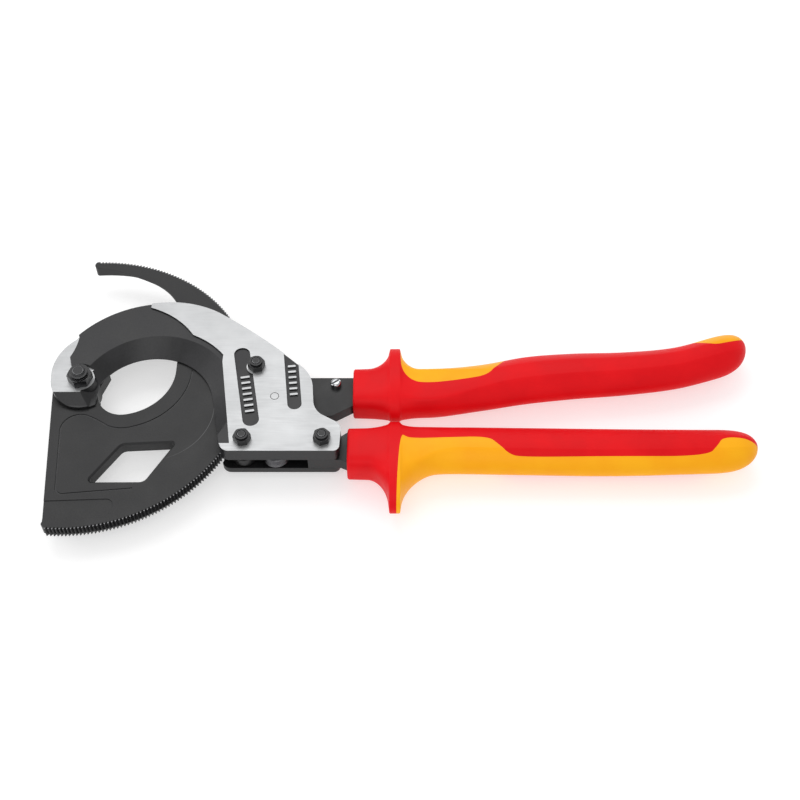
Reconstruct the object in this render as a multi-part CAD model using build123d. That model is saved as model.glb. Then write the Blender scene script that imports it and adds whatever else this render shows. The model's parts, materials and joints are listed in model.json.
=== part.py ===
"""Ratchet cable cutter with insulated handles.

Millimetres. The origin is on the blade's pivot axis, in the flat face of the pivot bolt's head, which is the plane
that the tool rests on. +X runs to the handle ends, +Y up the head, +Z out of the front.
"""
from math import atan2, cos, degrees, hypot, radians, sin
import os

from build123d import *

# thicknesses, from the resting plane up
pivot_head_height = 4.0
pivot_washer_thick = 1.6
rear_thick = 3.3
head_gap = 6.7
front_thick = 7.4
pad_thick = 4.9
blade_thick = 6.0
arm_thick = 6.0

rear_back = pivot_head_height + pivot_washer_thick
rear_front = rear_back + rear_thick
mid = rear_front + head_gap / 2
front_back = rear_front + head_gap
front_top = front_back + front_thick
pad_top = front_back + pad_thick

# clearances
running_gap = 0.05
seat_gap = 0.05
part_gap = 0.35

# pivot of the blade
pivot_bolt_r = 3.0
pivot_nut_flats = 10.0
pivot_nut_height = 5.7
pivot_bolt_past_nut = 0.9
pivot_washer_r = 6.4
pivot_bush_r = 5.0
hub_r = 13.65

# ratchet rim of the blade
tip_r = 77.0
tooth_depth = 1.3
teeth_per_turn = 300
tooth_steep_share = 0.35
rim_start_deg = -94.8
rim_end_deg = 92.4
pitch_deg = 360 / teeth_per_turn

# cable throat: a small arc by the pivot and a large one, tangent to each other
throat_r = 25.0
throat_at = (17.3, 8.4)
heel_r = 11.9
heel_turn_deg = -80.1
throat_bevel = 4.2
throat_edge_land = 1.2

# lower edge of the horn's nose, from its tip to the throat
horn_tip_low = (-2.2, 72.5)
horn_nose_middle = (12.4, 69.1)
horn_corner = (25.0, 63.7)

# bow of the front forging
bow_at = (33.1, -13.0)
bow_edge_r = 28.2
bow_land = 0.7
bow_ramp_r = 36.5
bow_ramp_at = (35.0, -12.6)
bow_drop = 0.8
bow_round = 2.0

# sunk bands in the ground face and the plain bars that stand in them
band_depth = 0.7
band_ends = [((73.6, 12.4), (80.0, -24.4)), ((96.2, 12.2), (99.2, -15.8))]
band_widths = (7.4, 6.4)
band_end_rounds = (3.6, 3.1)
bar_shares = ((0.36, 0.92), (0.24, 0.86))
bar_pitch = 3.2
bar_width = 1.1
bar_length_share = 0.56

# bolts that hold the housing together: lower left, lower right, upper
frame_bolt_r = 2.0
frame_nut_flats = 7.0
frame_nut_height = 4.2
frame_head_height = 3.5
frame_bolts_at = [(76.9, -35.2), (112.2, -35.0), (80.8, 5.4)]
spacer_r = 3.55
pawl_bush_r = 3.6

# pivot of the moving handle
handle_pin_at = (90.0, -11.6)
handle_pin_r = 4.0
handle_spigot_r = 1.95
arm_hub_r = 8.6

# pawls
pawl_thick = 3.0
pawl_tip_gap = 0.3
drive_pawl_at = (81.6, -15.2)
drive_pawl_pin_r = 1.75
drive_pawl_hub_r = 3.0
drive_tip_deg = -4.6
pawl_slot_wall = drive_pawl_hub_r + 0.3
pawl_spring_across = 6.3
pawl_spring_r = 1.2
pawl_back = 1.9
pawl_pocket_depth = 3.2
retaining_pawl_thick = 4.4
retaining_hub_r = 5.4
retaining_tip_deg = -17.4

# opening spring
spring_at = (91.3, -35.9)
spring_outer_r = 5.9
spring_wire = 1.25
spring_post_r = 3.9
spring_height = 6.2
spring_stake_r = 2.0
spring_post_drop = 0.4
stop_pin_at = (83.7, -27.6)
stop_pin_r = 1.7

# transport catch on the rear
catch_pin_at = (117.2, 0.2)
catch_pin_r = 1.9
catch_head_r = 2.5
catch_head_height = 2.9
catch_reach = 14.4
catch_parked_deg = -45.0
catch_thick = 1.6
catch_width = 5.6
catch_peg_r = 1.5
catch_peg_deg = -120.5

# handles
grip_half_thick = 8.6
guard_half_thick = mid
grip_wall = 3.0
sleeve_start = 125.3
guard_x = 144.5
guard_half_length = 2.6
guard_lead = 1.8
bar_end = 286.0
bar_half_width = 5.0
tang_dowel_r = 1.5
tang_dowel_at = (109.6, -27.6)


def polar(radius, angle_deg, centre=(0, 0)):
    """The point at a radius and an angle from a centre."""
    return (centre[0] + radius * cos(radians(angle_deg)), centre[1] + radius * sin(radians(angle_deg)))


def between(a, b, share=0.5):
    """The point at a share of the way from a to b."""
    return (a[0] + share * (b[0] - a[0]), a[1] + share * (b[1] - a[1]))


def area(start, *steps):
    """A flat face in XY. A step is the end of a straight run, or the middle and the end of an arc."""
    edges = []
    here = start
    for step in steps:
        if isinstance(step[0], tuple):
            edges.append(ThreePointArc(here, step[0], step[1]))
            here = step[1]
        else:
            edges.append(Line(here, step))
            here = step
    if hypot(here[0] - start[0], here[1] - start[1]) > 1e-6:
        edges.append(Line(here, start))
    return facing_up(Face(Wire(edges)))


def facing_up(face):
    """The same face with its normal along +Z."""
    return face if face.normal_at().Z > 0 else -face


def slab(face, low, high):
    """A face in XY as a solid between two heights."""
    return Pos(0, 0, low) * extrude(face, high - low, dir=(0, 0, 1))


def drum(centre, radius, low, high):
    """A round solid that stands on XY."""
    return Pos(centre[0], centre[1], (low + high) / 2) * Cylinder(radius, high - low)


def bar_block(low_corner, high_corner, low, high):
    """A box from two corners in XY and two heights."""
    size_x = high_corner[0] - low_corner[0]
    size_y = high_corner[1] - low_corner[1]
    centre = Pos((low_corner[0] + high_corner[0]) / 2, (low_corner[1] + high_corner[1]) / 2, (low + high) / 2)
    return centre * Box(size_x, size_y, high - low)


def hexagon(flats, centre, low, high, turn_deg=0):
    """A hexagonal solid with rounded-off corners, as on a nut or a bolt head."""
    place = Pos(centre[0], centre[1], 0) * Rot(0, 0, turn_deg)
    body = place * slab(RegularPolygon(flats / 2, 6, major_radius=False), low, high)
    crown = Pos(centre[0], centre[1], (low + high) / 2) * chamfer(
        Cylinder(flats * 0.58, high - low).edges().filter_by(GeomType.CIRCLE).sort_by(Axis.Z)[-1],
        flats * 0.06,
    )
    return body & crown


def lock_nut(flats, height, bore_r, centre, seat, turn_deg=0):
    """A lock nut: a hexagon with a round collar on top."""
    collar_height = height * 0.24
    body = hexagon(flats, centre, seat, seat + height - collar_height, turn_deg)
    body += drum(centre, flats * 0.41, seat + height - collar_height, seat + height)
    return body - drum(centre, bore_r, seat - 1, seat + height + 1)


def heel_centre():
    """The centre of the small throat arc, tangent inside the large one."""
    return polar(throat_r - heel_r, heel_turn_deg, throat_at)


def throat_area():
    """The cable throat cut from the blade, closed across the open side of the horn."""
    heel = heel_centre()
    lip_x = throat_at[0] + throat_r
    horn_bend = (lip_x, 35.7)
    horn_r = 31.2
    horn_middle = polar(horn_r, 32.0, (lip_x - horn_r, horn_bend[1]))
    start = polar(heel_r, 160, heel)
    hub_end = polar(hub_r, 35)
    return area(
        start,
        (polar(heel_r, 220, heel), polar(heel_r, heel_turn_deg, heel)),
        (polar(throat_r, heel_turn_deg / 2, throat_at), (lip_x, throat_at[1])),
        horn_bend,
        (horn_middle, horn_corner),
        hub_end,
    )


def blade_outline():
    """The sector with its ratchet teeth, its hub and its horn, before the throat is cut."""
    root_r = tip_r - tooth_depth
    rim = []
    for tooth in range(int((rim_end_deg - rim_start_deg) / pitch_deg)):
        angle = rim_start_deg + tooth * pitch_deg
        rim.append(polar(root_r, angle))
        rim.append(polar(tip_r, angle + tooth_steep_share * pitch_deg))
    heel_corner = (-7.4, -73.0)
    corner_round = (-6.9, -75.3)
    horn_tip_nose = (-4.3, 74.2)
    # tangent of the left edge on the hub circle
    edge_deg = degrees(atan2(-0.088, -0.996))
    edges = list(Polyline(*rim).edges())
    edges.append(ThreePointArc(rim[-1], horn_tip_nose, horn_tip_low))
    edges.append(ThreePointArc(horn_tip_low, horn_nose_middle, horn_corner))
    edges.append(Line(horn_corner, polar(hub_r, 35)))
    edges.append(ThreePointArc(polar(hub_r, 35), polar(hub_r, 110), polar(hub_r, edge_deg)))
    edges.append(Line(polar(hub_r, edge_deg), heel_corner))
    edges.append(ThreePointArc(heel_corner, corner_round, rim[0]))
    return facing_up(Face(Wire(edges)))


def rounded_area(corners):
    """A face with straight sides and rounded corners, from (corner, radius) pairs."""
    face = area(*[corner for corner, _ in corners])
    for corner, radius in corners:
        vertex = face.vertices().sort_by(lambda v: hypot(v.X - corner[0], v.Y - corner[1]))[0]
        face = facing_up(face.fillet_2d(radius, [vertex]))
    return face


def window_area():
    return rounded_area([((9, -52.5), 1.3), ((22, -32.8), 4.0), ((46, -31.5), 1.0), ((34, -52.3), 4.0)])


def cutting_blade():
    low = mid - blade_thick / 2
    high = mid + blade_thick / 2
    blade = slab(blade_outline(), low, high)
    throat = throat_area()
    blade -= slab(throat, low - 1, high + 1)

    # the cutting edge is on the front; the rear of the throat is bevelled away from it, clear of the hub
    bevel_depth = blade_thick - throat_edge_land
    bevel_deg = degrees(atan2(throat_bevel, bevel_depth))
    under_nose = area(horn_tip_low, (horn_nose_middle, horn_corner), (25, 40), (-30, 40), (-30, 72.5))
    bevel, nose_bevel = [
        Pos(0, 0, high - throat_edge_land) * Rot(180, 0, 0) * extrude(
            facing_up(Rot(180, 0, 0) * face), bevel_depth + 0.01, taper=-bevel_deg
        )
        for face in (throat, under_nose)
    ]
    clear_x = 14
    horn_y = 55
    run_out = Polyline((-4, low - 1), (-4, low), (22, high), (90, high), (90, low - 1), close=True)
    run_out_wedge = Pos(0, horn_y, 0) * extrude(Plane.XZ * make_face(run_out), 35, dir=(0, 1, 0))
    blade -= bevel & bar_block((clear_x, -40), (90, horn_y), low - 1, high)
    blade -= bevel & run_out_wedge
    blade -= nose_bevel & run_out_wedge

    # diamond window with a chamfered rim
    pane = window_area()
    blade -= slab(pane, low - 1, high + 1)
    window_chamfer = 0.8
    blade -= Pos(0, 0, high - window_chamfer) * extrude(pane, window_chamfer + 0.01, taper=-45)

    # pressed groove that follows the throat and the left edge
    groove_width = 0.7
    groove_depth = 0.35
    throat_band = 7.6
    panel_left = -6.6
    start = polar(throat_r + throat_band, 1, throat_at)
    first_turn = (26.1, -22.9)
    dip = (13.9, -22.4)
    groove = [
        ThreePointArc(start, polar(throat_r + throat_band, -34, throat_at), first_turn),
        ThreePointArc(first_turn, (20.2, -23.9), dip),
        ThreePointArc(dip, (9.6, -19.6), (4.4, -16.9)),
        ThreePointArc((4.4, -16.9), (-4.1, -18.6), (panel_left, -26.2)),
        Line((panel_left, -26.2), (-4.2, -55.4)),
        ThreePointArc((-4.2, -55.4), (-2.9, -58.2), (0.2, -58.8)),
        Line((0.2, -58.8), (29.4, -56.0)),
    ]
    blade -= slab(trace(Wire(groove), groove_width), high - groove_depth, high + 1)

    # plain sunk panel in the heel, open at the left edge
    panel_round = 3.4
    panel = area((-12, -62.6), (23.2, -61.2), (20.4, -71.0), (-12, -71.8))
    right_corners = panel.vertices().sort_by(Axis.X)[-2:]
    blade -= slab(facing_up(panel.fillet_2d(panel_round, right_corners)), high - groove_depth, high + 1)

    return blade - drum((0, 0), pivot_bush_r + running_gap, low - 1, high + 1)


def housing_edge():
    """The outline shared by forging and rear plate, from the top of the arm round to the lower left hook."""
    return [
        ((80.4, 23.6), (99.3, 7.2)),
        ((104.6, 1.5), (107.1, -7.0)),
        (107.6, -14.2),
        ((108.7, -18.4), (111.3, -21.6)),
        (117.0, -25.0),
        ((119.6, -27.3), (120.4, -30.4)),
        (120.0, -38.4),
        ((119.2, -40.5), (117.0, -41.4)),
        (70.7, -41.4),
        ((68.3, -40.3), (67.1, -38.2)),
    ]


def front_forging():
    tangent_deg = 11.2
    wall_length = 30.4
    wall_run = (wall_length * sin(radians(tangent_deg)), -wall_length * cos(radians(tangent_deg)))
    wall_top = polar(bow_edge_r, tangent_deg, bow_at)
    wall_foot = (wall_top[0] + wall_run[0], wall_top[1] + wall_run[1])
    pivot_side = polar(bow_edge_r, 152, bow_at)
    forging = slab(
        area(
            (-hub_r, 0.0),
            ((-11.9, 14.2), (-5.2, 23.0)),
            ((10.4, 36.9), (30.2, 43.4)),
            ((46.4, 43.1), (61.2, 37.4)),
            *housing_edge(),
            wall_foot,
            wall_top,
            (polar(bow_edge_r, 80, bow_at), pivot_side),
            polar(hub_r, -57),
            (polar(hub_r, -118), (-hub_r, 0.0)),
        ),
        front_back,
        front_top,
    )

    # the bow's crown lies below the ground face and meets it in a curved shoulder
    crown_z = front_top - bow_drop
    shoulder_r = 40.6
    shoulder_low = polar(shoulder_r, 38.5, bow_at)
    shoulder_high = polar(shoulder_r, 65.5, bow_at)
    crown = area(
        shoulder_low,
        (polar(shoulder_r, 52, bow_at), shoulder_high),
        ((41.9, 33.0), (28.4, 40.6)),
        (28.6, 60),
        (-30, 60),
        (-30, -30),
        (64, -30),
    )
    forging -= slab(crown, crown_z, front_top + 1)

    # ramp from the cutting edge up to the crown, running off in a tangent down the housing's wall
    edge_z = front_back + bow_land
    ramp_top = polar(bow_ramp_r, tangent_deg, bow_ramp_at)
    ramp_foot = (ramp_top[0] + wall_run[0], wall_foot[1])
    inside_x = 45
    quad_low = area(wall_top, wall_foot, (inside_x, wall_foot[1]), (inside_x, wall_top[1]))
    quad_high = area(ramp_top, ramp_foot, (inside_x, ramp_foot[1]), (inside_x, ramp_top[1]))
    ring_low = Pos(*bow_at) * Circle(bow_edge_r).face()
    ring_high = Pos(*bow_ramp_at) * Circle(bow_ramp_r).face()
    face_left_top = (64.2, 12.4)
    face_left_foot = (71.3, wall_foot[1])
    ground = slab(
        area(shoulder_low, face_left_top, face_left_foot, (160, wall_foot[1]), (160, 60), (64.9, 60)),
        front_back - 1,
        front_top + 2,
    )
    for low_face, high_face in ((ring_low, ring_high), (quad_low, quad_high)):
        forging -= loft([Pos(0, 0, edge_z) * low_face, Pos(0, 0, crown_z) * high_face], ruled=True) - ground
        forging -= slab(high_face, crown_z, front_top + 1) - ground

    # land under the pivot nut, with a conical flank towards the throat and a sloped foot
    seat_r = pivot_nut_flats * 0.64
    pad = area(
        (-3.4, 24.4),
        ((-4.0, 18.6), (-6.2, 11.4)),
        (-4.6, 5.4),
        (10, 5.4),
        (10, -30),
        (-30, -30),
        (-30, 30),
    )
    forging -= slab(pad, pad_top, front_top + 1)
    flank_r = hypot(*bow_at) - bow_edge_r - seat_gap
    flank_foot = Pos(0, 0, edge_z) * Circle(flank_r).face()
    flank = loft([flank_foot, Pos(0, 0, pad_top) * Circle(seat_r).face()], ruled=True)
    forging += flank
    forging -= drum((0, 0), seat_r + 1.0, pad_top, front_top + 1)
    boss_foot_z = front_back + 1.4
    slope = Polyline(
        (-7.4, pad_top),
        (-12.6, boss_foot_z),
        (-hub_r - 1, boss_foot_z),
        (-hub_r - 1, front_top + 1),
        (-7.4, front_top + 1),
        close=True,
    )
    slope_face = Plane.YZ * make_face(slope)
    forging -= Pos(-30, 0, 0) * extrude(slope_face, 60, dir=(1, 0, 0)) & bar_block(
        (-30, -30), (8.5, 0), front_back, front_top + 2
    )

    # sunk bands in the ground face, each with plain raised bars
    bands = zip(band_ends, band_widths, band_end_rounds, bar_shares)
    for (start, end), width, end_round, (first, last) in bands:
        forging -= sunk_band(start, end, width, end_round)
        forging += raised_bars(start, end, width, first, last)

    for centre in frame_bolts_at:
        forging -= drum(centre, frame_bolt_r + seat_gap, front_back - 1, front_top + 1)
    forging += drum(frame_bolts_at[2], frame_nut_flats * 0.66, front_top - band_depth, front_top)
    forging -= drum(frame_bolts_at[2], frame_bolt_r + seat_gap, front_back - 1, front_top + 1)
    forging -= drum(handle_pin_at, handle_spigot_r + seat_gap, front_back - 1, front_top + 1)
    forging -= drum((0, 0), pivot_bolt_r + seat_gap, front_back - 1, front_top + 1)
    return forging


def sunk_band(start, end, width, end_round):
    """The space of a sunk band, from its floor up past the ground face."""
    length = hypot(end[0] - start[0], end[1] - start[1])
    turn = degrees(atan2(end[1] - start[1], end[0] - start[0]))
    middle = between(start, end)
    outline = fillet(Rectangle(length + width, width).vertices(), end_round)
    place = Pos(middle[0], middle[1], front_top - band_depth) * Rot(0, 0, turn)
    return place * extrude(outline, band_depth + 1)


def raised_bars(start, end, width, first, last):
    """Plain crossbars at an even spacing along a sunk band, between two shares of its length."""
    length = hypot(end[0] - start[0], end[1] - start[1])
    turn = degrees(atan2(end[1] - start[1], end[0] - start[0]))
    count = int(length * (last - first) / bar_pitch)
    outline = fillet(Rectangle(bar_width, width * bar_length_share).vertices(), bar_width * 0.3)
    bars = Part()
    for number in range(count + 1):
        at = between(start, end, first + number * bar_pitch / length)
        bars += Pos(at[0], at[1], front_top - band_depth) * Rot(0, 0, turn) * slab(outline, 0, band_depth)
    return bars


def rear_plate():
    arm_inner_r = 38.6
    arm_outer_r = 50.0
    lug_r = 7.3
    join_deg = 47.0
    foot = (67.6, -37.4)
    plate = slab(
        area(
            (66.4, 12.0),
            polar(arm_inner_r, join_deg, bow_at),
            (polar(arm_inner_r, 100, bow_at), polar(arm_inner_r, 148, bow_at)),
            polar(lug_r, 60),
            (polar(lug_r, -80), polar(lug_r, 180)),
            polar(arm_outer_r, 142, bow_at),
            (polar(arm_outer_r, 100, bow_at), (51.0, 33.4)),
            (63.0, 34.2),
            *housing_edge(),
            foot,
        ),
        rear_back,
        rear_front,
    )
    for centre, radius in ((spring_at, spring_stake_r), (stop_pin_at, stop_pin_r)):
        plate -= drum(centre, radius + seat_gap, rear_back - 1, rear_front + 1)
    for centre in frame_bolts_at:
        plate -= drum(centre, frame_bolt_r + seat_gap, rear_back - 1, rear_front + 1)
    plate -= drum(handle_pin_at, handle_spigot_r + seat_gap, rear_back - 1, rear_front + 1)
    plate -= drum((0, 0), pivot_bolt_r + seat_gap, rear_back - 1, rear_front + 1)
    plate -= drum(tang_dowel_at, tang_dowel_r + seat_gap, rear_back - 1, rear_front + 1)
    peg = polar(catch_reach, catch_peg_deg, catch_pin_at)
    plate -= drum(peg, catch_peg_r + seat_gap, rear_back - 1, rear_front + 1)
    return plate


def spring_post():
    """Post inside the opening spring, with a stake in the rear plate."""
    stake = drum(spring_at, spring_stake_r, rear_back, rear_front)
    return stake + drum(spring_at, spring_post_r, rear_front, rear_front + spring_height - spring_post_drop)


def stop_pin():
    """Stop for the moving handle's nose, in the rear plate."""
    return drum(stop_pin_at, stop_pin_r, rear_back, rear_front + arm_thick)


def pivot_bolt():
    top = pad_top + pivot_nut_height + pivot_bolt_past_nut
    shank = Pos(0, 0, top / 2) * Cylinder(pivot_bolt_r, top)
    shank = chamfer(shank.edges().filter_by(GeomType.CIRCLE).sort_by(Axis.Z)[-1], 0.6)
    head = hexagon(pivot_nut_flats, (0, 0), 0, pivot_head_height)
    head = Rot(180, 0, 0) * Pos(0, 0, -pivot_head_height) * head
    return head + shank


def pivot_nut():
    return lock_nut(pivot_nut_flats, pivot_nut_height, pivot_bolt_r + seat_gap, (0, 0), pad_top, 12)


def pivot_washer():
    ring = drum((0, 0), pivot_washer_r, pivot_head_height, rear_back)
    return ring - drum((0, 0), pivot_bolt_r + seat_gap, 0, rear_back + 1)


def bush(centre, radius, bore_r, low, high):
    return drum(centre, radius, low, high) - drum(centre, bore_r, low - 1, high + 1)


def frame_bolts():
    """The three housing bolts, heads at the rear."""
    bolts = []
    for centre in frame_bolts_at:
        top = front_top + frame_nut_height + 0.2
        shank = drum(centre, frame_bolt_r, rear_back - 0.5, top)
        shank = chamfer(shank.edges().filter_by(GeomType.CIRCLE).sort_by(Axis.Z)[-1], 0.4)
        head = hexagon(frame_nut_flats, centre, rear_back - frame_head_height, rear_back, 15)
        bolts.append((head + shank).solid())
    return Compound(children=bolts)


def frame_nuts():
    turns = (8, 20, 14)
    nuts = [
        lock_nut(frame_nut_flats, frame_nut_height, frame_bolt_r + seat_gap, centre, front_top, turn).solid()
        for centre, turn in zip(frame_bolts_at, turns)
    ]
    return Compound(children=nuts)


def handle_pivot_pin():
    pin = drum(handle_pin_at, handle_pin_r, rear_front + seat_gap, front_back - seat_gap)
    return pin + drum(handle_pin_at, handle_spigot_r, rear_back, front_top)


def retaining_pawl_tip():
    return polar(tip_r + pawl_tip_gap, retaining_tip_deg)


def retaining_pawl():
    centre = frame_bolts_at[0]
    tip = retaining_pawl_tip()
    low = mid - arm_thick / 2
    high = low + retaining_pawl_thick
    nose = area(
        tip,
        (tip[0] + 2.6, tip[1] + 1.6),
        (centre[0] + 3.4, centre[1] + 8.0),
        (centre[0] + retaining_hub_r, centre[1]),
        (centre[0] - retaining_hub_r * 0.72, centre[1] - 1.0),
        (centre[0] - retaining_hub_r * 0.90, centre[1] + 2.0),
        (tip[0] + 0.3, tip[1] - 2.6),
    )
    pawl = slab(nose, low, high) + drum(centre, retaining_hub_r, low, high)
    return pawl - drum(centre, pawl_bush_r + running_gap, low - 1, high + 1)


def torsion_spring(centre, outer_r, wire, low, high, leg_angles, leg_lengths):
    """A wound spring as a closed sleeve with a straight leg off each end."""
    sleeve = bush(centre, outer_r, outer_r - wire, low, high)
    mean_r = outer_r - wire / 2
    for angle, length, z in zip(leg_angles, leg_lengths, (low + wire / 2, high - wire / 2)):
        root = polar(mean_r, angle, centre)
        turn = 90 if length > 0 else -90
        leg = Pos(root[0], root[1], z) * Rot(0, 0, angle + turn) * Rot(0, 90, 0) * Pos(0, 0, abs(length) / 2)
        sleeve += leg * Cylinder(wire * 0.44, abs(length))
    return sleeve


def opening_spring():
    low = mid - spring_height / 2
    high = low + spring_height
    return torsion_spring(spring_at, spring_outer_r, spring_wire, low, high, (90, 0), (-13.0, 16.0))


def retaining_pawl_spring():
    low = mid - arm_thick / 2 + retaining_pawl_thick + 0.15
    high = mid + arm_thick / 2
    return torsion_spring(frame_bolts_at[0], pawl_bush_r + 1.1, 0.8, low, high, (-30, 0), (10.5, 6.5))


def pawl_axes():
    """Unit vectors at the drive pawl's pin: u to the handle's pivot, n square to it, to the teeth."""
    run = (handle_pin_at[0] - drive_pawl_at[0], handle_pin_at[1] - drive_pawl_at[1])
    length = hypot(*run)
    u = (run[0] / length, run[1] / length)
    return u, (-u[1], u[0])


def at_pawl(along, across):
    """A point in the drive pawl's own directions."""
    u, n = pawl_axes()
    return (
        drive_pawl_at[0] + along * u[0] + across * n[0],
        drive_pawl_at[1] + along * u[1] + across * n[1],
    )


def pawl_spring_rod(radius, start, end):
    """A rod on the pawl spring's line, between two distances from the pawl's pin."""
    u, _ = pawl_axes()
    low = at_pawl(start, pawl_spring_across)
    plane = Plane(origin=(low[0], low[1], mid), z_dir=(u[0], u[1], 0))
    return extrude(plane * Circle(radius), end - start)


def drive_pawl():
    tip = polar(tip_r + pawl_tip_gap, drive_tip_deg)
    hub = drive_pawl_hub_r
    nose = area(
        tip,
        at_pawl(-hub * 0.66, 7.0),
        at_pawl(-hub, 0),
        at_pawl(hub, 0),
        at_pawl(pawl_back, 4.6),
        at_pawl(pawl_back, 7.8),
        at_pawl(1.3, 9.3),
    )
    low = mid - pawl_thick / 2
    pawl = slab(nose, low, low + pawl_thick) + drum(drive_pawl_at, hub, low, low + pawl_thick)
    return pawl - drum(drive_pawl_at, drive_pawl_pin_r + running_gap, low - 1, mid + pawl_thick)


def drive_pawl_pin():
    return drum(drive_pawl_at, drive_pawl_pin_r, mid - arm_thick / 2, mid + arm_thick / 2)


def drive_pawl_spring():
    end = pawl_slot_wall + pawl_pocket_depth
    return pawl_spring_rod(pawl_spring_r, pawl_back + 0.1, end - 0.1) - pawl_spring_rod(
        pawl_spring_r * 0.5, pawl_back, end
    )


def upper_axis():
    """Middle line of the moving grip: x, y and half width at each station."""
    return [
        (sleeve_start, -2.5, 11.0),
        (150.0, -2.4, 11.9),
        (166.0, -1.8, 11.9),
        (186.0, 1.2, 12.1),
        (206.0, 5.3, 12.6),
        (228.0, 7.7, 12.2),
        (252.0, 9.2, 11.4),
        (276.0, 12.4, 10.9),
        (296.0, 18.6, 11.2),
        (306.5, 22.4, 8.6),
        (310.6, 23.6, 3.4),
    ]


def lower_axis():
    """Middle line of the fixed grip: x, y and half width at each station."""
    return [
        (sleeve_start - 2.0, -36.0, 11.0),
        (150.0, -35.2, 11.9),
        (166.0, -34.2, 11.7),
        (200.0, -34.6, 11.8),
        (240.0, -35.2, 11.8),
        (284.0, -34.8, 10.9),
        (298.0, -34.4, 9.8),
        (304.6, -33.8, 7.2),
        (307.4, -33.4, 3.2),
    ]


def section(x, y, half_width, half_thick):
    """An oval across the handle."""
    across = Plane(origin=(x, y, mid), x_dir=(0, 1, 0), z_dir=(1, 0, 0))
    return across * Ellipse(half_width, half_thick).face()


def grip_envelope(stations, guard_y, guard_half_width):
    """Sleeve, guard and grip of one handle as one solid, straight from each oval to the next."""
    start, rear = stations[0], stations[1]
    ovals = [
        section(*start, grip_half_thick - 0.6),
        section(guard_x - guard_half_length - guard_lead, start[1], start[2] + 0.2, grip_half_thick),
        section(guard_x - guard_half_length, guard_y, guard_half_width, guard_half_thick),
        section(guard_x + guard_half_length, guard_y, guard_half_width - 0.3, guard_half_thick - 0.3),
        section(*rear, grip_half_thick + 0.2),
    ]
    for number, (x, y, half_width) in enumerate(stations[2:]):
        near_end = number > len(stations) - 5
        ovals.append(section(x, y, half_width, half_width * 0.86 if near_end else grip_half_thick))
    return loft(ovals, ruled=True)


def moving_handle_bar():
    """Steel bar of the moving handle: fork for the drive pawl, hub, arm and core of the grip."""
    low = mid - arm_thick / 2
    nose_r = drive_pawl_hub_r + 1.0
    stations = upper_axis()
    core = [station for station in stations[1:] if station[0] < bar_end]
    grip_low = [(x, y - bar_half_width) for x, y, _ in core]
    grip_high = [(x, y + bar_half_width) for x, y, _ in reversed(core)]
    bar = slab(
        area(
            (drive_pawl_at[0] - nose_r, drive_pawl_at[1]),
            (polar(nose_r, -115, drive_pawl_at), polar(nose_r, -60, drive_pawl_at)),
            polar(arm_hub_r, -100, handle_pin_at),
            (98.0, -19.4),
            (116.0, -17.0),
            (125.4, -11.4),
            (134.0, grip_low[0][1]),
            *grip_low,
            (bar_end, core[-1][1] - bar_half_width + 3.4),
            (bar_end, core[-1][1] + bar_half_width + 3.4),
            *grip_high,
            (132.0, 4.5),
            (104.0, 4.5),
            ((97.5, 3.6), (92.0, 0.6)),
            (84.4, -3.2),
            (80.6, -5.0),
        ),
        low,
        low + arm_thick,
    )
    bar -= drum(handle_pin_at, handle_pin_r + running_gap, low - 1, mid + arm_thick)
    reach = 14
    slot = area(
        at_pawl(pawl_slot_wall, -reach),
        at_pawl(pawl_slot_wall, reach),
        at_pawl(-2 * reach, reach),
        at_pawl(-2 * reach, -reach),
    )
    slot_half = pawl_thick / 2 + 0.15
    bar -= slab(slot, mid - slot_half, mid + slot_half)
    bar -= pawl_spring_rod(pawl_spring_r + 0.15, 0, pawl_slot_wall + pawl_pocket_depth)
    bar -= drum(drive_pawl_at, drive_pawl_pin_r + 0.01, low - 1, mid + arm_thick)
    return bar - drum(catch_pin_at, catch_pin_r + 0.01, low - 1, mid + arm_thick)


def fixed_handle_bar():
    """Steel bar of the fixed handle: a block clamped between the plates, and the core of the grip."""
    stations = lower_axis()
    core = [station for station in stations[1:] if station[0] < bar_end]
    grip_low = [(x, y - bar_half_width) for x, y, _ in core]
    grip_high = [(x, y + bar_half_width) for x, y, _ in reversed(core)]
    bar = slab(
        area(
            (105.7, -41.4),
            (120.4, -41.4),
            (124.6, -43.4),
            (134.0, grip_low[0][1]),
            *grip_low,
            *grip_high,
            (134.0, grip_high[-1][1]),
            (124.2, -25.6),
            (120.4, -28.6),
            (115.6, -24.6),
            (107.2, -24.6),
            (105.7, -26.6),
        ),
        rear_front,
        front_back,
    )
    bar -= drum(frame_bolts_at[1], frame_bolt_r + seat_gap, rear_front - 1, front_back + 1)
    return bar - drum(tang_dowel_at, tang_dowel_r + 0.01, rear_front - 1, rear_front + head_gap / 2)


def tang_dowel():
    return drum(tang_dowel_at, tang_dowel_r, rear_back + 0.3, rear_front + head_gap / 2 - 0.3)


def fixed_cover_area():
    """Where the fixed grip's outer shell lies, seen from the front."""
    return area(
        (guard_x, -80),
        (guard_x, -30.4),
        (152, -33.0),
        (186, -32.3),
        (192, -37.6),
        (198.5, -42.6),
        (282, -42.9),
        (288.5, -37.4),
        (292, -33.9),
        (320, -33.9),
        (320, -80),
    )


def moving_cover_areas():
    """Where the moving grip's outer shell lies, seen from the front: the long piece and the end piece."""
    return [
        area(
            (guard_x, 50),
            (guard_x, 8.5),
            (147.5, 5.6),
            ((151.6, 0.4), (157, -2.0)),
            (165, -2.0),
            (185, 2.0),
            (188.5, 4.2),
            (193, 9.8),
            (200, 20),
            (200, 50),
        ),
        area((291, 22.8), (296, 22.0), (306, 24.6), (320, 30), (320, 60), (291, 60)),
    ]


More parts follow.
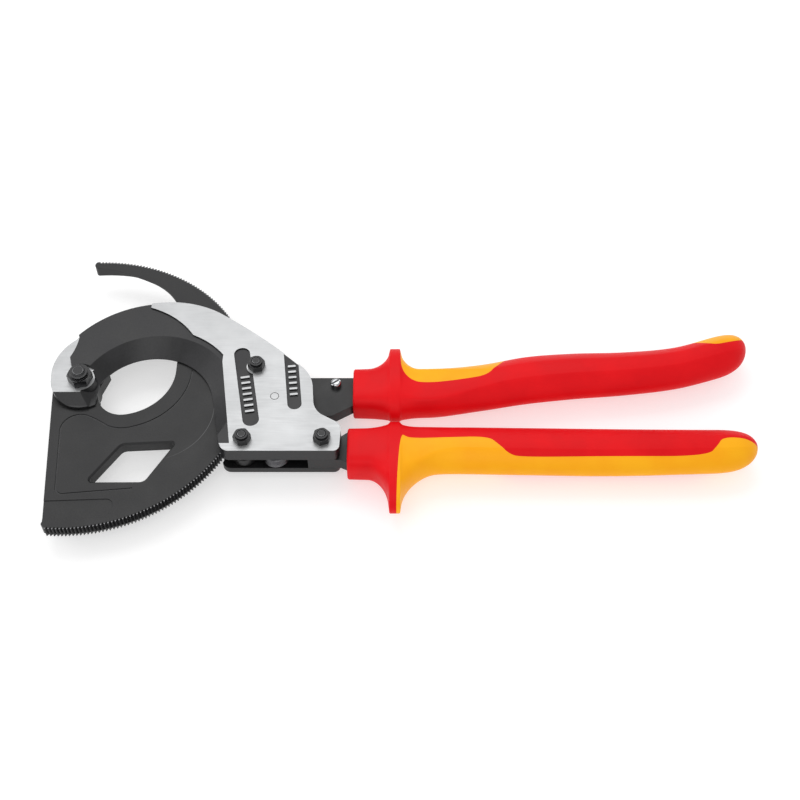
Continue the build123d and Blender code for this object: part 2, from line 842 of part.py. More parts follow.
def grip_pair(envelope, bar, cover_areas):
    """The base and the outer shell of one grip, split along its border, both moulded round the bar."""
    solid = envelope - bar
    cover_space = Part()
    for face in cover_areas:
        cover_space += slab(face, mid - 3 * grip_half_thick, mid + 3 * grip_half_thick)
    return solid - cover_space, solid & cover_space


def catch_lever_place():
    """The catch lever's direction at rest."""
    return catch_peg_deg + catch_parked_deg


def catch_lever():
    """Flat hook behind the rear plate: an eye, a straight run beside the peg and a toe that goes under it."""
    high = rear_back - part_gap
    low = high - catch_thick
    peg_side = catch_peg_r + 0.25
    half = catch_width / 2
    toe_in = catch_reach + peg_side
    toe_out = toe_in + 2.6
    hook = area(
        (0, -half - peg_side),
        (toe_out, -half - peg_side),
        (toe_out, catch_peg_r),
        (toe_in, catch_peg_r),
        (toe_in, -peg_side),
        (catch_width * 0.7, -peg_side),
        (0, half),
    )
    lever = slab(hook, low, high) + drum((0, 0), catch_width * 0.72, low, high)
    lever -= drum((0, 0), catch_pin_r + running_gap, low - 1, high + 1)
    return Pos(catch_pin_at[0], catch_pin_at[1], 0) * Rot(0, 0, catch_lever_place()) * lever


def catch_pin():
    """Slotted pin through the moving bar, with a domed head in front and a ring groove at the rear."""
    face = mid + arm_thick / 2
    bottom = rear_back - part_gap - catch_thick - 1.3
    pin = drum(catch_pin_at, catch_pin_r, bottom, face + 0.1)
    head = Cylinder(catch_head_r, catch_head_height)
    head = fillet(head.edges().filter_by(GeomType.CIRCLE).sort_by(Axis.Z)[-1], catch_head_r * 0.5)
    head -= Pos(0, 0, catch_head_height / 2) * Rot(0, 0, 35) * Box(3 * catch_head_r, 1.0, 1.4)
    return pin + Pos(catch_pin_at[0], catch_pin_at[1], face + catch_head_height / 2) * head


def catch_spacer():
    high = mid - arm_thick / 2
    low = rear_back - part_gap + 0.1
    return bush(catch_pin_at, catch_pin_r + 1.3, catch_pin_r + seat_gap, low, high)


def catch_ring():
    high = rear_back - part_gap - catch_thick - 0.1
    return bush(catch_pin_at, catch_pin_r + 1.3, catch_pin_r + 0.01, high - 0.8, high)


def catch_peg():
    peg = polar(catch_reach, catch_peg_deg, catch_pin_at)
    return drum(peg, catch_peg_r, rear_back - part_gap - catch_thick - 0.4, rear_front - 0.3)


def nodes():
    moving_bar = moving_handle_bar()
    fixed_bar = fixed_handle_bar()
    moving_body = grip_envelope(upper_axis(), 2.65, 19.6)
    moving_base, moving_cover = grip_pair(moving_body, moving_bar, moving_cover_areas())
    fixed_body = grip_envelope(lower_axis(), -42.9, 23.4)
    fixed_base, fixed_cover = grip_pair(fixed_body, fixed_bar, [fixed_cover_area()])
    return {
        "cutting_blade": cutting_blade(),
        "front_forging": front_forging(),
        "rear_plate": rear_plate(),
        "spring_post": spring_post(),
        "stop_pin": stop_pin(),
        "pivot_bolt": pivot_bolt(),
        "pivot_nut": pivot_nut(),
        "pivot_washer": pivot_washer(),
        "pivot_bush": bush((0, 0), pivot_bush_r, pivot_bolt_r + seat_gap, rear_front, front_back),
        "frame_bolts": frame_bolts(),
        "frame_nuts": frame_nuts(),
        "pawl_bush": bush(frame_bolts_at[0], pawl_bush_r, frame_bolt_r + seat_gap, rear_front, front_back),
        "spacer_sleeve": bush(frame_bolts_at[2], spacer_r, frame_bolt_r + seat_gap, rear_front, front_back),
        "handle_pivot_pin": handle_pivot_pin(),
        "retaining_pawl": retaining_pawl(),
        "retaining_pawl_spring": retaining_pawl_spring(),
        "opening_spring": opening_spring(),
        "moving_handle_bar": moving_bar,
        "moving_grip_base": moving_base,
        "moving_grip_cover": moving_cover,
        "fixed_handle_bar": fixed_bar,
        "fixed_grip_base": fixed_base,
        "fixed_grip_cover": fixed_cover,
        "tang_dowel": tang_dowel(),
        "drive_pawl": drive_pawl(),
        "drive_pawl_pin": drive_pawl_pin(),
        "drive_pawl_spring": drive_pawl_spring(),
        "catch_pin": catch_pin(),
        "catch_spacer": catch_spacer(),
        "catch_lever": catch_lever(),
        "catch_ring": catch_ring(),
        "catch_peg": catch_peg(),
    }


def main():
    os.makedirs("parts", exist_ok=True)
    for node, shape in nodes().items():
        export_step(shape, f"parts/{node}.step")


main()
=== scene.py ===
import json
import math

import bmesh
import bpy
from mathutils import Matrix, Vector

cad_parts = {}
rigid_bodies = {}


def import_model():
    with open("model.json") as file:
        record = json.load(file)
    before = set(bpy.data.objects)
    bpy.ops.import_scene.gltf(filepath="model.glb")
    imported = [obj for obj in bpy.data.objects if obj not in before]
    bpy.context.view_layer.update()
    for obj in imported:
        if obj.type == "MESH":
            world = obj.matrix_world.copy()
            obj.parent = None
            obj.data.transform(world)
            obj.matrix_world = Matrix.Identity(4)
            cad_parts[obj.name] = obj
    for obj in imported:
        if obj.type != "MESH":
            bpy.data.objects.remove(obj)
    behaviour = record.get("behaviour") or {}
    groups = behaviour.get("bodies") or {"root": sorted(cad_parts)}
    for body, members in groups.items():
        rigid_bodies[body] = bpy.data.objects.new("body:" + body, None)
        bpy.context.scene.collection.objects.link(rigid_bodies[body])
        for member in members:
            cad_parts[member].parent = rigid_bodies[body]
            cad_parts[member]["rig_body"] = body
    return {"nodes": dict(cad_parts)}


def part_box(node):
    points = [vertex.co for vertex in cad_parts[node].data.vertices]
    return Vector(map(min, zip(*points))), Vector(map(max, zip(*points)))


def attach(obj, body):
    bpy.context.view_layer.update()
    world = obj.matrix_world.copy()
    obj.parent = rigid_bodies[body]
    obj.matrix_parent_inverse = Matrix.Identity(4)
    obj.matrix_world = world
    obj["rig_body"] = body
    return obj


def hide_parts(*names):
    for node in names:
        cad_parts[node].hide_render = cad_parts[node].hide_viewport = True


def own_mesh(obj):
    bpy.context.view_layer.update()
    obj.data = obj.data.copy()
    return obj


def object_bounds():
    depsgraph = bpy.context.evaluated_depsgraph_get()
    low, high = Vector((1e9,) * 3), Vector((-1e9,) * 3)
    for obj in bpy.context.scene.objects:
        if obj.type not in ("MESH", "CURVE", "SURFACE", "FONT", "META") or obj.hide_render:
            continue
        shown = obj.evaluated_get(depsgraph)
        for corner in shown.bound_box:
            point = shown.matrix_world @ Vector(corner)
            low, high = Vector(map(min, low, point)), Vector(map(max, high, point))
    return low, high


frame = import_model()
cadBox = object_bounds()
nodes = frame["nodes"]
mm = 0.001

# the origin is in the middle of the blade's pivot, on the plane the tool lies on
midHeight = (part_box("cutting_blade")[0].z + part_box("cutting_blade")[1].z) / 2
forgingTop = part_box("front_forging")[1].z
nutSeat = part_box("pivot_nut")[0].z
print("frame loaded:", len(nodes), "nodes")


def hexColour(code):
    # sRGB hex to the linear values that Blender works in
    channels = [int(code[i:i + 2], 16) / 255 for i in (1, 3, 5)]
    return tuple(c / 12.92 if c <= 0.04045 else ((c + 0.055) / 1.055) ** 2.4 for c in channels) + (1.0,)


def addNode(tree, kind, settings=None, links=None):
    # settings go to the node's properties, its sockets or a ramp's stops, and links are {input: output socket}
    node = tree.nodes.new(kind)
    for key, value in (settings or {}).items():
        if key == "stops":
            elements = node.color_ramp.elements
            for index, (place, code) in enumerate(value):
                element = elements[index] if index < 2 else elements.new(place)
                element.position, element.color = place, hexColour(code)
        elif isinstance(key, str) and hasattr(node, key):
            setattr(node, key, value)
        else:
            node.inputs[key].default_value = value
    for key, source in (links or {}).items():
        tree.links.new(source, node.inputs[key])
    return node.outputs


def startMaterial(name):
    material = bpy.data.materials.new(name)
    material.use_nodes = True
    tree = material.node_tree
    place = addNode(tree, "ShaderNodeTexCoord")["Object"]
    return material, tree, tree.nodes["Principled BSDF"], place


def tipHighlightAndWearRing(tree, place, spec):
    # a painted highlight on the tooth tips, and the fine ring that the bow's edge has rubbed into the blade
    reach = []
    for x, y in ((0, 0), spec["ring"]["at"]):
        flat = addNode(tree, "ShaderNodeMapping", {"Location": (-x * mm, -y * mm, 0), "Scale": (1, 1, 0)},
                       {"Vector": place})["Vector"]
        reach.append(addNode(tree, "ShaderNodeVectorMath", {"operation": "LENGTH"}, {0: flat})["Value"])
    tipsFrom, tipsFull = spec["wornFromMm"] * mm, (spec["wornFromMm"] + spec["wornBlendMm"]) * mm
    tips = addNode(tree, "ShaderNodeMapRange", {"From Min": tipsFrom, "From Max": tipsFull}, {"Value": reach[0]})
    line = addNode(tree, "ShaderNodeMath", {"operation": "COMPARE", 1: spec["ring"]["radiusMm"] * mm,
                                            2: spec["ring"]["widthMm"] * mm}, {0: reach[1]})
    across = addNode(tree, "ShaderNodeSeparateXYZ", links={0: place})["X"]
    fadeFrom, fadeTo = spec["ring"]["fadeMm"]
    fade = addNode(tree, "ShaderNodeMapRange", {"From Min": fadeFrom * mm, "From Max": fadeTo * mm, "To Min": 0,
                                                "To Max": spec["ring"]["strength"]}, {"Value": across})
    faint = addNode(tree, "ShaderNodeMath", {"operation": "MULTIPLY"}, {0: line[0], 1: fade[0]})
    return addNode(tree, "ShaderNodeMath", {"operation": "MAXIMUM"}, {0: tips[0], 1: faint[0]})[0]


def blackSteel(name, spec):
    # hot-blacked steel: an even, slightly oily black with a fine blasted grain
    material, tree, shader, place = startMaterial(name)
    fine = addNode(tree, "ShaderNodeTexNoise", {"Scale": 1000 / spec["grainMm"], "Detail": 3, "Roughness": 0.55},
                   {"Vector": place})["Fac"]
    broad = addNode(tree, "ShaderNodeTexNoise", {"Scale": 1000 / spec["cloudMm"], "Detail": 4, "Roughness": 0.55},
                    {"Vector": place})["Fac"]
    mixed = addNode(tree, "ShaderNodeMath", {"operation": "MULTIPLY_ADD", 1: 0.35}, {0: fine, 2: broad})[0]
    paint = addNode(tree, "ShaderNodeValToRGB", {"stops": [(0.45, spec["dark"]), (0.85, spec["light"])]},
                    {"Fac": mixed})["Color"]
    # the lighter colour is a painted highlight on the tooth tips and real wear along the rubbed ring
    if "worn" in spec:
        paint = addNode(tree, "ShaderNodeMix", {"data_type": "RGBA", 7: hexColour(spec["worn"])},
                        {0: tipHighlightAndWearRing(tree, place, spec), 6: paint})[2]
    sheen = addNode(tree, "ShaderNodeMapRange", {"From Min": 0.3, "From Max": 0.7, "To Min": spec["roughness"] - 0.06,
                                                 "To Max": spec["roughness"] + 0.10}, {"Value": broad})["Result"]
    bump = addNode(tree, "ShaderNodeBump", {"Distance": spec["bumpMm"] * mm}, {"Height": fine})["Normal"]
    for socket, source in (("Base Color", paint), ("Roughness", sheen), ("Normal", bump)):
        tree.links.new(source, shader.inputs[socket])
    shader.inputs["Metallic"].default_value = spec["metallic"]
    return material


def groundSteel(name, spec):
    # surface-ground steel: bright and even, with very fine straight grinding lines, drawn coarser than real to show
    material, tree, shader, place = startMaterial(name)
    along = addNode(tree, "ShaderNodeMapping", {"Scale": (0.04, 1, 1), "Rotation": (0, 0, spec["turn"])},
                    {"Vector": place})["Vector"]
    lines = addNode(tree, "ShaderNodeTexNoise", {"Scale": 1000 / spec["lineMm"], "Detail": 2, "Roughness": 0.55},
                    {"Vector": along})["Fac"]
    patches = addNode(tree, "ShaderNodeTexNoise", {"Scale": 1000 / spec["cloudMm"], "Detail": 3, "Roughness": 0.55},
                      {"Vector": place})["Fac"]
    paint = addNode(tree, "ShaderNodeValToRGB", {"stops": [(0.35, spec["dark"]), (0.65, spec["light"])]},
                    {"Fac": patches})["Color"]
    sheen = addNode(tree, "ShaderNodeMapRange", {"From Min": 0.3, "From Max": 0.7, "To Min": spec["roughness"] - 0.05,
                                                 "To Max": spec["roughness"] + 0.08}, {"Value": lines})["Result"]
    bump = addNode(tree, "ShaderNodeBump", {"Distance": spec["bumpMm"] * mm}, {"Height": lines})["Normal"]
    for socket, source in (("Base Color", paint), ("Roughness", sheen), ("Normal", bump)):
        tree.links.new(source, shader.inputs[socket])
    shader.inputs["Metallic"].default_value = spec["metallic"]
    return material


def turnedMetal(name, spec):
    # turned bronze or nickel-plated steel: smooth and bright, with a faint haze
    material, tree, shader, place = startMaterial(name)
    haze = addNode(tree, "ShaderNodeTexNoise", {"Scale": 1000 / spec["cloudMm"], "Detail": 3, "Roughness": 0.55},
                   {"Vector": place})["Fac"]
    paint = addNode(tree, "ShaderNodeValToRGB", {"stops": [(0.3, spec["dark"]), (0.7, spec["light"])]},
                    {"Fac": haze})["Color"]
    sheen = addNode(tree, "ShaderNodeMapRange", {"From Min": 0.3, "From Max": 0.7, "To Min": spec["roughness"] - 0.04,
                                                 "To Max": spec["roughness"] + 0.06}, {"Value": haze})["Result"]
    bump = addNode(tree, "ShaderNodeBump", {"Distance": spec["bumpMm"] * mm}, {"Height": haze})["Normal"]
    for socket, source in (("Base Color", paint), ("Roughness", sheen), ("Normal", bump)):
        tree.links.new(source, shader.inputs[socket])
    shader.inputs["Metallic"].default_value = 1.0
    return material


def mouldedGrip(name, spec):
    # moulded soft PVC: strong colour, satin skin with a fine spark-eroded grain and a slight unevenness
    material, tree, shader, place = startMaterial(name)
    skin = addNode(tree, "ShaderNodeTexNoise", {"Scale": 1000 / spec["grainMm"], "Detail": 2, "Roughness": 0.55},
                   {"Vector": place})["Fac"]
    cloud = addNode(tree, "ShaderNodeTexNoise", {"Scale": 1000 / spec["cloudMm"], "Detail": 3, "Roughness": 0.55},
                    {"Vector": place})["Fac"]
    paint = addNode(tree, "ShaderNodeValToRGB", {"stops": [(0.35, spec["dark"]), (0.65, spec["light"])]},
                    {"Fac": cloud})["Color"]
    sheen = addNode(tree, "ShaderNodeMapRange", {"From Min": 0.3, "From Max": 0.7, "To Min": spec["roughness"] - 0.05,
                                                 "To Max": spec["roughness"] + 0.07}, {"Value": cloud})["Result"]
    bump = addNode(tree, "ShaderNodeBump", {"Distance": spec["bumpMm"] * mm}, {"Height": skin})["Normal"]
    for socket, source in (("Base Color", paint), ("Roughness", sheen), ("Normal", bump)):
        tree.links.new(source, shader.inputs[socket])
    shader.inputs["IOR"].default_value = spec["ior"]
    shader.inputs["Specular IOR Level"].default_value = spec["gloss"]
    return material


finishes = {
    # the blade's lighter tone is a painted highlight on its tooth tips and real wear on the rubbed ring
    "bladeBlack": {"dark": "#121213", "light": "#222223", "roughness": 0.46, "metallic": 0.2, "grainMm": 0.9,
                   "cloudMm": 16, "bumpMm": 0.07, "wornFromMm": 76.15, "wornBlendMm": 0.3, "worn": "#8E8E90",
                   "ring": {"at": (33.1, -13.0), "radiusMm": 28.7, "widthMm": 0.16, "fadeMm": (38, 60),
                            "strength": 0.22}},
    "bowBlack": {"dark": "#171718", "light": "#262628", "roughness": 0.38, "metallic": 0.25, "grainMm": 1.1,
                 "cloudMm": 14, "bumpMm": 0.04},
    "plateBlack": {"dark": "#0E0E0F", "light": "#1A1A1B", "roughness": 0.40, "metallic": 0.2, "grainMm": 1.0,
                   "cloudMm": 12, "bumpMm": 0.03},
    "nutBlack": {"dark": "#111112", "light": "#202022", "roughness": 0.28, "metallic": 0.3, "grainMm": 0.8,
                 "cloudMm": 6, "bumpMm": 0.02},
    "springBlack": {"dark": "#4A4A4D", "light": "#6E6E70", "roughness": 0.30, "metallic": 0.9, "grainMm": 2.5,
                    "cloudMm": 5, "bumpMm": 0.003},
    "groundFace": {"dark": "#AAABAC", "light": "#B4B5B6", "roughness": 0.40, "metallic": 0.75, "lineMm": 0.5,
                   "turn": 1.2, "cloudMm": 20, "bumpMm": 0.008},
    "wornSteel": {"dark": "#77787A", "light": "#A9AAAC", "roughness": 0.30, "metallic": 0.9, "lineMm": 0.6,
                  "turn": 0.3, "cloudMm": 4, "bumpMm": 0.006},
    "nickel": {"dark": "#8E9092", "light": "#B9BABB", "roughness": 0.16, "cloudMm": 3, "bumpMm": 0.004},
    "bronze": {"dark": "#9A7442", "light": "#B58B52", "roughness": 0.34, "cloudMm": 4, "bumpMm": 0.01},
    "gripRed": {"dark": "#DB0914", "light": "#E50E17", "roughness": 0.44, "ior": 1.53, "gloss": 0.12, "grainMm": 0.7,
                "cloudMm": 18, "bumpMm": 0.02},
    "gripYellow": {"dark": "#FCA800", "light": "#FFB208", "roughness": 0.44, "ior": 1.53, "gloss": 0.2,
                   "grainMm": 0.7, "cloudMm": 18, "bumpMm": 0.02},
}
bladeBlack = blackSteel("hot-blacked blade steel", finishes["bladeBlack"])
bowBlack = blackSteel("hot-blacked forging", finishes["bowBlack"])
plateBlack = blackSteel("hot-blacked plate", finishes["plateBlack"])
nutBlack = blackSteel("black-oxide nut steel", finishes["nutBlack"])
springBlack = blackSteel("oil-tempered spring wire", finishes["springBlack"])
groundFace = groundSteel("surface-ground steel", finishes["groundFace"])
# bright steel painted on the bevelled edges of the nuts and bolts, a painted highlight
wornSteel = groundSteel("black oxide worn to steel", finishes["wornSteel"])
nickel = turnedMetal("nickel-plated steel", finishes["nickel"])
bronze = turnedMetal("bearing bronze", finishes["bronze"])
gripRed = mouldedGrip("moulded red PVC", finishes["gripRed"])
gripYellow = mouldedGrip("moulded yellow PVC", finishes["gripYellow"])
print("materials made")


def weldedMesh(node):
    # the frame's mesh with its seams closed and its flat faces whole again
    shape = bmesh.new()
    shape.from_mesh(nodes[node].data)
    bmesh.ops.remove_doubles(shape, verts=shape.verts, dist=0.002 * mm)
    bmesh.ops.dissolve_limit(shape, angle_limit=math.radians(0.6), verts=shape.verts, edges=shape.edges,
                             delimit={"NORMAL"})
    return shape


def addPiece(name, shape, body, materials, replaced=()):
    mesh = bpy.data.meshes.new(name)
    shape.to_mesh(mesh)
    shape.free()
    piece = bpy.data.objects.new(name, mesh)
    bpy.context.scene.collection.objects.link(piece)
    for material in materials:
        mesh.materials.append(material)
    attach(piece, body)
    if replaced:
        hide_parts(*replaced)
    return piece


def smoothOver(piece, angleDeg):
    piece.data.shade_smooth()
    piece.data.set_sharp_from_angle(angle=math.radians(angleDeg))


def brokenEdges(piece, widthMm, angleDeg=35, segments=2, edgeLightFinish=-1):
    bevel = piece.modifiers.new("broken edges", "BEVEL")
    bevel.width = widthMm * mm
    bevel.segments = segments
    bevel.limit_method = "ANGLE"
    bevel.angle_limit = math.radians(angleDeg)
    bevel.harden_normals = False
    bevel.use_clamp_overlap = True
    # the bevel faces can take a second finish: a painted highlight or painted shade along the edges
    bevel.material = edgeLightFinish
    flatten = piece.modifiers.new("even faces", "WEIGHTED_NORMAL")
    flatten.keep_sharp = True
    flatten.weight = 100


def bodyOf(node):
    return nodes[node]["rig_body"]


# a second finish goes on a piece's bevelled edges: bright steel as a painted highlight on the nuts and bolts, black as
# a painted shade ring round the flush handle pivot pin
metalPieces = {
    "rear_plate": {"finish": plateBlack, "slot": "black_steel", "edgeMm": 0.35},
    "fixed_handle_bar": {"finish": plateBlack, "slot": "black_steel", "edgeMm": 0.4},
    "moving_handle_bar": {"finish": plateBlack, "slot": "black_steel", "edgeMm": 0.4},
    "retaining_pawl": {"finish": plateBlack, "slot": "black_steel", "edgeMm": 0.25},
    "drive_pawl": {"finish": plateBlack, "slot": "black_steel", "edgeMm": 0.2},
    "pivot_bolt": {"finish": nutBlack, "worn": wornSteel, "slot": "bolt_steel", "edgeMm": 0.25},
    "pivot_nut": {"finish": nutBlack, "worn": wornSteel, "slot": "bolt_steel", "edgeMm": 0.3},
    "frame_bolts": {"finish": nutBlack, "worn": wornSteel, "slot": "bolt_steel", "edgeMm": 0.25},
    "frame_nuts": {"finish": nutBlack, "worn": wornSteel, "slot": "bolt_steel", "edgeMm": 0.3},
    "catch_lever": {"finish": plateBlack, "slot": "black_steel", "edgeMm": 0.2},
    "catch_pin": {"finish": nickel, "slot": "plated_steel", "edgeMm": 0.12},
    # the black on this pin's bevelled edge is a painted shade ring
    "handle_pivot_pin": {"finish": groundFace, "worn": nutBlack, "slot": "ground_steel", "edgeMm": 0.22},
    "stop_pin": {"finish": nutBlack, "slot": "bolt_steel", "edgeMm": 0.2},
    "spring_post": {"finish": nutBlack, "slot": "bolt_steel", "edgeMm": 0.3},
}
for node, spec in metalPieces.items():
    finish = [spec["finish"]] + ([spec["worn"]] if "worn" in spec else [])
    piece = addPiece(node + "_piece", weldedMesh(node), bodyOf(node), finish, [node])
    smoothOver(piece, 28)
    brokenEdges(piece, spec["edgeMm"], edgeLightFinish=len(finish) - 1 if "worn" in spec else -1)
print("metal pieces made")


bladeLook = {"edgeMm": 0.18, "smoothDeg": 24, "rimFromMm": 75.0, "grooveMm": 0.4, "panelBelowMm": -60.5}
bladeShape = weldedMesh("cutting_blade")
bladeShape.normal_update()
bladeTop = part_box("cutting_blade")[1].z
for face in bladeShape.faces:  # painted shade: the side walls of the teeth and the pressed groove get the darker black
    centre = face.calc_center_median()
    shadedToothWall = math.hypot(centre.x, centre.y) > bladeLook["rimFromMm"] * mm and abs(face.normal.z) < 0.3
    sunk = 0.05 * mm < bladeTop - centre.z < bladeLook["grooveMm"] * mm
    shadedGroove = sunk and (abs(face.normal.z) < 0.3 or centre.y > bladeLook["panelBelowMm"] * mm)
    face.material_index = 1 if shadedToothWall or shadedGroove else 0
blade = addPiece("blade", bladeShape, "blade", [bladeBlack, nutBlack], ["cutting_blade"])
smoothOver(blade, bladeLook["smoothDeg"])
brokenEdges(blade, bladeLook["edgeMm"], 50, 1)
print("blade made")


forgingLook = {"edgeMm": 0.3, "smoothDeg": 30, "padReachMm": 12, "levelMm": 0.05}
forgingShape = weldedMesh("front_forging")
forgingShape.normal_update()
level = forgingLook["levelMm"] * mm
for face in forgingShape.faces:  # bare steel where the forging is ground: its front and the land under the pivot nut
    centre = face.calc_center_median()
    flat = face.normal.z > 0.995
    onGround = abs(centre.z - forgingTop) < level
    onPad = abs(centre.z - nutSeat) < level and centre.x < forgingLook["padReachMm"] * mm
    face.material_index = 1 if flat and (onGround or onPad) else 0
forging = addPiece("forging", forgingShape, "root", [bowBlack, groundFace], ["front_forging"])
smoothOver(forging, forgingLook["smoothDeg"])
brokenEdges(forging, forgingLook["edgeMm"], 30, 2)
print("forging made")


def alongCurve(points, x, column):
    # a smooth value between stations: cubic through the neighbours
    last = len(points) - 1
    index = 0
    while index < last - 1 and x > points[index + 1][0]:
        index += 1
    before, here, there, after = (points[max(0, min(last, index + step))] for step in (-1, 0, 1, 2))
    span = there[0] - here[0]
    t = max(0.0, min(1.0, (x - here[0]) / span))
    slopeHere = (there[column] - before[column]) / (there[0] - before[0]) * span
    slopeThere = (after[column] - here[column]) / (after[0] - here[0]) * span
    t2, t3 = t * t, t * t * t
    return ((2 * t3 - 3 * t2 + 1) * here[column] + (t3 - 2 * t2 + t) * slopeHere
            + (3 * t2 - 2 * t3) * there[column] + (t3 - t2) * slopeThere)


def quarterOval(power, count):
    # points of a quarter superellipse, from the side round to the crown
    points = []
    for step in range(count):
        angle = math.pi / 2 * step / (count - 1)
        points.append((math.cos(angle) ** (2 / power), math.sin(angle) ** (2 / power)))
    return points


def easeIn(t):
    t = max(0.0, min(1.0, t))
    return t * t * (3 - 2 * t)


def ridgedFlank(ridgeU, ridgeW, sweepDeg, count):
    # flank of the grip: part of an oval that meets the crown in a soft ridge
    sweep = math.radians(sweepDeg)
    middle = (ridgeU - math.cos(sweep)) / (1 - math.cos(sweep))
    tall = ridgeW / math.sin(sweep)
    return [(middle + (1 - middle) * math.cos(sweep * step / (count - 1)), tall * math.sin(sweep * step / (count - 1)))
            for step in range(count)]


# quarter sections with the ridge at the same place in each list
crown = {"ridge": (0.32, 0.930), "cornerNearGuard": (0.75, 0.80), "sweepDeg": 34, "steps": 11}
ridgedQuarter = ridgedFlank(*crown["ridge"], crown["sweepDeg"], crown["steps"])
ridgedQuarter += [(0.29, 0.936), (0.20, 0.950), (0.10, 0.961), (0.0, 0.966)]
squareQuarter = ridgedFlank(*crown["cornerNearGuard"], crown["sweepDeg"], crown["steps"])
squareQuarter += [(0.70, 0.835), (0.60, 0.862), (0.36, 0.915), (0.0, 0.960)]
boxQuarter = quarterOval(3.4, len(ridgedQuarter))
ovalQuarter = quarterOval(2.2, len(ridgedQuarter))


def gripRing(x, low, high, halfThick, guardShare, sleeveShare, squareShare):
    centre, halfWide = (low + high) / 2, (high - low) / 2
    quarter = []
    for ridged, square, boxy, oval in zip(ridgedQuarter, squareQuarter, boxQuarter, ovalQuarter):
        held = [ridged[k] * (1 - squareShare) + square[k] * squareShare for k in (0, 1)]
        plain = [held[k] * (1 - sleeveShare) + boxy[k] * sleeveShare for k in (0, 1)]
        quarter.append([plain[k] * (1 - guardShare) + oval[k] * guardShare for k in (0, 1)])
    ring = [(u, w) for u, w in quarter]
    ring += [(-u, w) for u, w in reversed(quarter[:-1])]
    ring += [(-u, -w) for u, w in quarter[1:]]
    ring += [(u, -w) for u, w in reversed(quarter[1:-1])]
    return [Vector((x * mm, (centre + u * halfWide) * mm, midHeight + w * halfThick * mm)) for u, w in ring]


def gripShape(spec):
    # closed skin of sleeve, guard and grip, ring by ring
    start, end = spec["axis"][0][0], spec["end"]
    rimFront, rimRear = spec["rim"]
    filletFront, filletRear = spec["fillets"]
    rimRound, filletFull = 0.5, 0.96  # mm off the guard's edge, and how nearly the fillets reach it
    places = [start, start + 0.25, start + 0.7]
    x = start + 1.6
    while x < end - 0.1:
        places.append(x)
        near = rimFront - filletFront < x < rimRear + max(filletRear)
        x += 0.5 if near or x > end - 6 else 1.6
    rims = [rimFront - 0.02, rimFront + 0.25, rimFront + 0.8, rimRear - 0.8, rimRear - 0.25, rimRear + 0.02]
    places = [p for p in places if all(abs(p - r) > 0.2 for r in rims)]
    places = sorted(places + rims + [end - 0.25, end - 0.05])
    shape = bmesh.new()
    rings = []
    for x in places:
        centre = alongCurve(spec["axis"], x, 1)
        half = alongCurve(spec["axis"], x, 2)
        thick = alongCurve(spec["thick"], x, 1)
        share = [0.0, 0.0]
        if rimFront <= x <= rimRear:
            edge = min(x - rimFront, rimRear - x)
            roundOff = rimRound * (1 - min(1.0, edge / 0.8)) ** 2
            low, high = spec["guard"][0] + roundOff, spec["guard"][1] - roundOff
            thick = spec["guardThick"] - rimRound
            guardShare = 1.0
        else:
            for side in (0, 1):
                reach = filletFront if x < rimFront else filletRear[side]
                s = 1 - (rimFront - x) / reach if x < rimFront else 1 - (x - rimRear) / reach
                s = max(0.0, min(1.0, s))
                share[side] = 1 - math.sqrt(max(0.0, 1 - s * s))
            low, high = centre - half, centre + half
            low += (spec["guard"][0] + rimRound - low) * share[0] * filletFull
            high += (spec["guard"][1] - rimRound - high) * share[1] * filletFull
            thick += (spec["guardThick"] - rimRound - thick) * max(share) * filletFull
            guardShare = max(share)
        if x > spec["roundFrom"]:
            s = (x - spec["roundFrom"]) / (end - spec["roundFrom"])
            shrink = (1 - min(1.0, s) ** spec["roundPower"]) ** 0.5
            middle = (low + high) / 2 + spec["endDrift"] * s * s
            low, high = middle - (high - low) / 2 * shrink, middle + (high - low) / 2 * shrink
            thick *= (1 - min(1.0, s) ** (spec["roundPower"] * 0.9)) ** 0.5
        if x < start + 1:
            edge = 0.7 * (1 - (x - start) / 0.7) ** 2 if x < start + 0.7 else 0.0
            low, high, thick = low + edge, high - edge, thick - edge
        sleeveShare = 1 - easeIn((x - rimFront) / (spec["blendTo"] - rimFront))
        squareShare = 1 - easeIn((x - spec["squareTo"][0]) / (spec["squareTo"][1] - spec["squareTo"][0]))
        ring = gripRing(x, low, high, max(thick, 0.05), guardShare, sleeveShare, squareShare)
        rings.append([shape.verts.new(point) for point in ring])
    for here, there in zip(rings, rings[1:]):
        for i in range(len(here)):
            j = (i + 1) % len(here)
            shape.faces.new((here[i], here[j], there[j], there[i]))
    shape.faces.new(list(reversed(rings[0])))
    shape.faces.new(rings[-1])
    bmesh.ops.recalc_face_normals(shape, faces=shape.faces)
    return shape


def prism(points, low, high):
    # an upright block over an outline in XY
    shape = bmesh.new()
    base = [shape.verts.new((x * mm, y * mm, low * mm)) for x, y in points]
    top = [shape.verts.new((x * mm, y * mm, high * mm)) for x, y in points]
    shape.faces.new(base)
    shape.faces.new(list(reversed(top)))
    for i in range(len(base)):
        j = (i + 1) % len(base)
        shape.faces.new((base[j], base[i], top[i], top[j]))
    bmesh.ops.recalc_face_normals(shape, faces=shape.faces)
    mesh = bpy.data.meshes.new("cutter")
    shape.to_mesh(mesh)
    shape.free()
    return mesh


